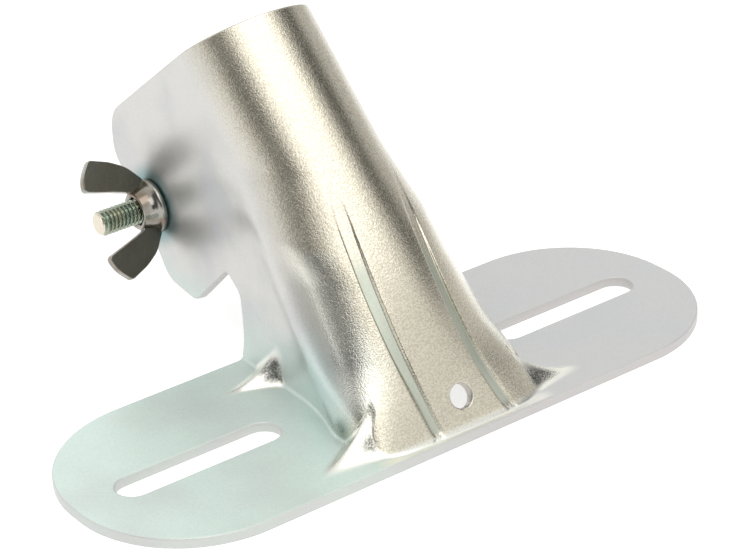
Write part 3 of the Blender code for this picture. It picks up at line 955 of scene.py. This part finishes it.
# Where the passivation turns from none to full, along X and down Z
PASSIVE_X = (10.0 * MM, -24.0 * MM)
PASSIVE_Z = (20.0 * MM, 4.0 * MM)
# Moves the patches' noise away from the clouds' noise
PATCH_SHIFT = (0.3, 0.1, 0.2)
GRAIN_SCALE = 2300.0
PEEL_SCALE = 4200.0
GRAIN_HEIGHT = 0.052 * MM
PEEL_HEIGHT = 0.048 * MM


def zinc_sheet():
    """Blue-passivated zinc on pressed sheet: pale tinted flats, grainy and warmer where drawn."""
    material, nodes, shader, position = new_material("zinc_sheet")
    drawn = nodes.attribute("drawn")
    burnished = nodes.attribute("burnished")
    edge = nodes.attribute("cut_edge")
    flute = nodes.smooth_range(nodes.attribute("flute"), 0.55, 0.95)
    clouds = nodes.noise(position, 38.0, 2.0)
    patches = nodes.noise(nodes.vector_math("ADD", position, PATCH_SHIFT), 55.0, 3.0)
    specks = nodes.noise(position, GRAIN_SCALE, 2.0, 0.6)
    axes = nodes.add("ShaderNodeSeparateXYZ", Vector=position).outputs
    sideways = nodes.math("ABSOLUTE", axes["X"])
    mirrored = nodes.add("ShaderNodeCombineXYZ", X=sideways, Y=axes["Y"], Z=axes["Z"]).outputs[0]

    # Base colour: neutral and lavender patches, mint low on the left, cream where drawn
    left = nodes.smooth_range(axes["X"], *PASSIVE_X)
    low = nodes.smooth_range(axes["Z"], *PASSIVE_Z)
    colour = nodes.mix(low, (0.640, 0.630, 0.600), (0.545, 0.550, 0.540))
    lavender = nodes.smooth_range(patches, 0.45, 0.70, 0.2, 0.8)
    colour = nodes.mix(lavender, colour, (0.520, 0.530, 0.550))
    minty = nodes.math("MULTIPLY", left, low)
    minty = nodes.math("MULTIPLY", minty, nodes.smooth_range(clouds, 0.30, 0.60, 0.6, 1.0))
    colour = nodes.mix(minty, colour, (0.650, 0.775, 0.725))
    colour = nodes.tint(colour, drawn, 0.9, (0.655, 0.615, 0.500))

    # Painted shade and painted reflection of the nut on the sheet round it, bluish cheek, brown dust
    # in the grain
    colour = nodes.tint(colour, nodes.near(position, *NUT_PAINTED_SHADE), 0.85, (0.17, 0.31, 0.32))
    colour = nodes.tint(colour, nodes.near(position, *CHEEK_TINT), 0.6, (0.63, 0.77, 0.76))
    dust = nodes.smooth_range(specks, 0.40, 0.62, 0.0, 0.30)
    dusty = nodes.math("MULTIPLY_ADD", drawn, 0.75, 0.25)
    colour = nodes.mix(nodes.math("MULTIPLY", dust, dusty), colour, (0.25, 0.195, 0.145))

    # Painted highlights on the rubbed spots, and painted shade on the dark facets and dimples beside
    # them
    colour = nodes.tint(colour, burnished, 0.9, (0.88, 0.87, 0.80))
    speckled = nodes.smooth_range(specks, 0.42, 0.62, 1.0, 0.5)
    shaded = nodes.near(mirrored, *BACK_GUSSET_SHADE)
    shaded = nodes.math("MAXIMUM", shaded, nodes.near(mirrored, *FRONT_GUSSET_SHADE))
    shaded = nodes.math("MULTIPLY", nodes.math("MULTIPLY", shaded, burnished), speckled)
    # Painted shade of the dimple, darkening the colour
    dimple_shade = nodes.math("MULTIPLY", nodes.near(mirrored, *DIMPLE_PAINTED_SHADE), speckled)
    colour = nodes.tint(colour, dimple_shade, 0.88, (0.09, 0.12, 0.11))
    colour = nodes.tint(colour, shaded, 0.88, (0.11, 0.11, 0.10))

    # Cut edges and the flutes' floors
    colour = nodes.tint(colour, edge, 0.6, (0.56, 0.53, 0.52))
    colour = nodes.tint(colour, flute, 0.85, (0.46, 0.50, 0.43))
    nodes.put(shader.inputs["Base Color"], colour)

    rough = nodes.math("MULTIPLY_ADD", drawn, -0.15, 0.36)
    rough = nodes.math("ADD", rough, nodes.smooth_range(patches, 0.35, 0.75, -0.04, 0.05))
    for mask, change in ((burnished, -0.08), (edge, 0.10), (flute, 0.16)):
        rough = nodes.math("MULTIPLY_ADD", mask, change, rough)
    nodes.put(shader.inputs["Roughness"], rough)
    bare = nodes.math("MAXIMUM", drawn, burnished)
    matt = nodes.math("MULTIPLY", low, nodes.math("SUBTRACT", 1.0, bare))
    metal = nodes.math("MULTIPLY_ADD", matt, -0.42, 0.85)
    nodes.put(shader.inputs["Metallic"], nodes.math("MULTIPLY_ADD", bare, 0.15, metal))

    peel = nodes.noise(position, PEEL_SCALE, 1.0, 0.6)
    grain = nodes.math("MULTIPLY_ADD", drawn, 0.58, 0.32)
    grain = nodes.math("MULTIPLY", grain, nodes.math("MULTIPLY_ADD", flute, -0.6, 1.0))
    bumped(nodes, shader, ((specks, GRAIN_HEIGHT, grain), (peel, PEEL_HEIGHT, grain)))
    return material


def zinc_casting():
    """Zinc on the wing nut: a bright brownish hub, and flat wing faces with a painted dark
    reflection, with a cast texture.
    """
    material, nodes, shader, position = new_material("zinc_casting")
    clouds = nodes.noise(position, 180.0, 2.0)
    skin_and_painted_shade = nodes.attribute("wing_face")
    browner = nodes.smooth_range(clouds, 0.40, 0.65)
    colour = nodes.mix(browner, (0.34, 0.33, 0.30), (0.22, 0.18, 0.14))
    # The flat wing faces are painted dark as a painted reflection; their extra roughness and bump
    # are the rougher cast skin
    colour = nodes.tint(colour, skin_and_painted_shade, 0.9, (0.105, 0.105, 0.085))
    nodes.put(shader.inputs["Base Color"], colour)
    rough = nodes.smooth_range(clouds, 0.3, 0.7, 0.12, 0.20)
    nodes.put(shader.inputs["Roughness"], nodes.math("MULTIPLY_ADD", skin_and_painted_shade, 0.18, rough))
    cast = nodes.noise(position, 1300.0, 3.0, 0.6)
    dents = nodes.noise(position, 420.0, 1.0, 0.5)
    rugged = nodes.math("MULTIPLY_ADD", skin_and_painted_shade, 0.5, 0.5)
    bumped(nodes, shader, ((dents, 0.08 * MM, 0.5), (cast, 0.05 * MM, rugged)))
    return material


def zinc_steel():
    """Zinc on the rolled thread, yellowish green, with a paler sawn end."""
    material, nodes, shader, position = new_material("zinc_steel")
    clouds = nodes.noise(position, 300.0, 2.0)
    yellower = nodes.smooth_range(clouds, 0.30, 0.75)
    colour = nodes.mix(yellower, (0.29, 0.35, 0.29), (0.38, 0.39, 0.30))
    x = nodes.add("ShaderNodeSeparateXYZ", Vector=position).outputs["X"]
    chamfer_x = EAR_HALF_WIDTH + GAP - BOLT_LENGTH + BOLT_CHAMFER
    sawn = nodes.smooth_range(x, chamfer_x, chamfer_x - SAWN_FADE)
    colour = nodes.mix(sawn, colour, (0.70, 0.64, 0.53))
    nodes.put(shader.inputs["Base Color"], colour)
    nodes.put(shader.inputs["Roughness"], nodes.smooth_range(clouds, 0.3, 0.7, 0.20, 0.30))
    grain = nodes.noise(position, 1600.0, 2.0, 0.6)
    bumped(nodes, shader, ((grain, 0.02 * MM, 0.5),))
    return material


# ---------------------------------------------------------------- stage

def direction(azimuth, elevation):
    """Unit vector; azimuth 0 is +Y and 90 is +X, in degrees."""
    a, e = math.radians(azimuth), math.radians(elevation)
    return math.sin(a) * math.cos(e), math.cos(a) * math.cos(e), math.sin(e)


# Dark gaps of the studio: (azimuth, elevation, inner and outer radius, how dark), in degrees
DARK_GAPS = (
    (-93, 24, 5, 24, 0.78),
    (-104, 35, 5, 18, 0.50),
    (-125, 18, 8, 22, 0.85),
    (-149, 16, 5, 15, 0.85),
    (105, 36, 5, 22, 0.93),
    (124, 23, 5, 17, 0.50),
    (80, 5, 10, 35, 0.35),
)
# Brighter parts of the tent: the same, with how much brighter
SOFTBOXES = (
    (173, 65, 10, 27, 0.42),
    (-134, 44, 11, 22, 0.95),
)
SKY = 1.05
SKY_COLOUR = (1.0, 1.0, 0.985)
SEEN_SKY = 1.1
LAMP_PLACE = (0.0, -0.25, 1.1)
LAMP_TARGET = (0.0, 0.0, 0.03)
LAMP_SIZE = (0.9, 0.7)
LAMP_POWER = 2.5
FLOOR_HALF_SIZE = 1.5
FLOOR_GAP = 0.02 * MM
FLOOR_GREY = 0.45
FLOOR_GLOW = 0.72
FLOOR_ROUGHNESS = 0.9

# The photograph's viewpoint, fitted to the feet's outline and slots
CAMERA_LENS = 125.6336
CAMERA_SENSOR = 36.0
CAMERA_PLACE = (-0.29040, -0.43010, 0.28504)
CAMERA_TURN = (1.0938, 0.0485, -0.6446)


def make_world():
    """A white light tent with dark gaps and brighter parts. The camera sees plain white."""
    world = bpy.data.worlds.new("studio")
    bpy.context.scene.world = world
    world.use_nodes = True
    background = world.node_tree.nodes["Background"]
    nodes = Nodes(world.node_tree)
    ray = nodes.add("ShaderNodeTexCoord").outputs["Generated"]

    def lobe(azimuth, elevation, inner, outer):
        along = nodes.vector_math("DOT_PRODUCT", ray, direction(azimuth, elevation), output=1)
        limits = [math.cos(math.radians(angle)) for angle in (outer, inner)]
        return nodes.smooth_range(along, *limits)

    light = SKY
    for *place, gain in SOFTBOXES:
        light = nodes.math("MULTIPLY_ADD", lobe(*place), gain, light)
    for *place, dark in DARK_GAPS:
        left_over = nodes.math("MULTIPLY_ADD", lobe(*place), -dark, 1.0)
        light = nodes.math("MULTIPLY", light, left_over)
    seen = nodes.add("ShaderNodeLightPath").outputs["Is Camera Ray"]
    unseen = nodes.math("SUBTRACT", 1.0, seen)
    strength = nodes.math("MULTIPLY_ADD", seen, SEEN_SKY, nodes.math("MULTIPLY", light, unseen))
    nodes.put(background.inputs["Color"], SKY_COLOUR)
    nodes.put(background.inputs["Strength"], strength)


def make_lamp():
    """One soft rectangular lamp above and in front of the bracket."""
    lamp = bpy.data.lights.new("top_softbox", "AREA")
    lamp.shape = "RECTANGLE"
    lamp.size, lamp.size_y = LAMP_SIZE
    lamp.energy = LAMP_POWER
    item = new_object("top_softbox", lamp)
    item.location = LAMP_PLACE
    aim = Vector(LAMP_TARGET) - Vector(LAMP_PLACE)
    item.rotation_euler = aim.to_track_quat("-Z", "Y").to_euler()


def make_floor():
    """A pale floor that glows a little, like a light table."""
    bm = bmesh.new()
    bmesh.ops.create_grid(bm, x_segments=1, y_segments=1, size=FLOOR_HALF_SIZE)
    mesh = bpy.data.meshes.new("floor")
    bm.to_mesh(mesh)
    bm.free()
    floor = new_object("floor", mesh)
    floor.location = (0, 0, -FLOOR_GAP)
    paper = bpy.data.materials.new("pale_floor")
    paper.use_nodes = True
    shader = paper.node_tree.nodes["Principled BSDF"]
    shader.inputs["Base Color"].default_value = (FLOOR_GREY, FLOOR_GREY, FLOOR_GREY, 1.0)
    shader.inputs["Roughness"].default_value = FLOOR_ROUGHNESS
    shader.inputs["Emission Color"].default_value = (1.0, 1.0, 1.0, 1.0)
    shader.inputs["Emission Strength"].default_value = FLOOR_GLOW
    floor.data.materials.append(paper)


def make_stage():
    """The floor, the camera, the tent and the lamp."""
    make_floor()
    camera = bpy.data.cameras.new("camera")
    camera.lens = CAMERA_LENS
    camera.sensor_width = CAMERA_SENSOR
    item = new_object("camera", camera)
    item.location = CAMERA_PLACE
    item.rotation_euler = CAMERA_TURN
    bpy.context.scene.camera = item
    bpy.context.scene.view_settings.view_transform = "Standard"
    make_world()
    make_lamp()


def finish_piece(piece, material, node):
    piece.data.materials.clear()
    piece.data.materials.append(material)
    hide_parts(node)


def main():
    make_stage()
    bracket = make_bracket()
    finish_piece(bracket, zinc_sheet(), "bracket")
    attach(bracket, "bracket")
    bolt = make_bolt()
    finish_piece(bolt, zinc_steel(), "clamp_bolt")
    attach(bolt, "clamp_bolt")
    nut = make_nut()
    finish_piece(nut, zinc_casting(), "wing_nut")
    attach(nut, "wing_nut")


main()
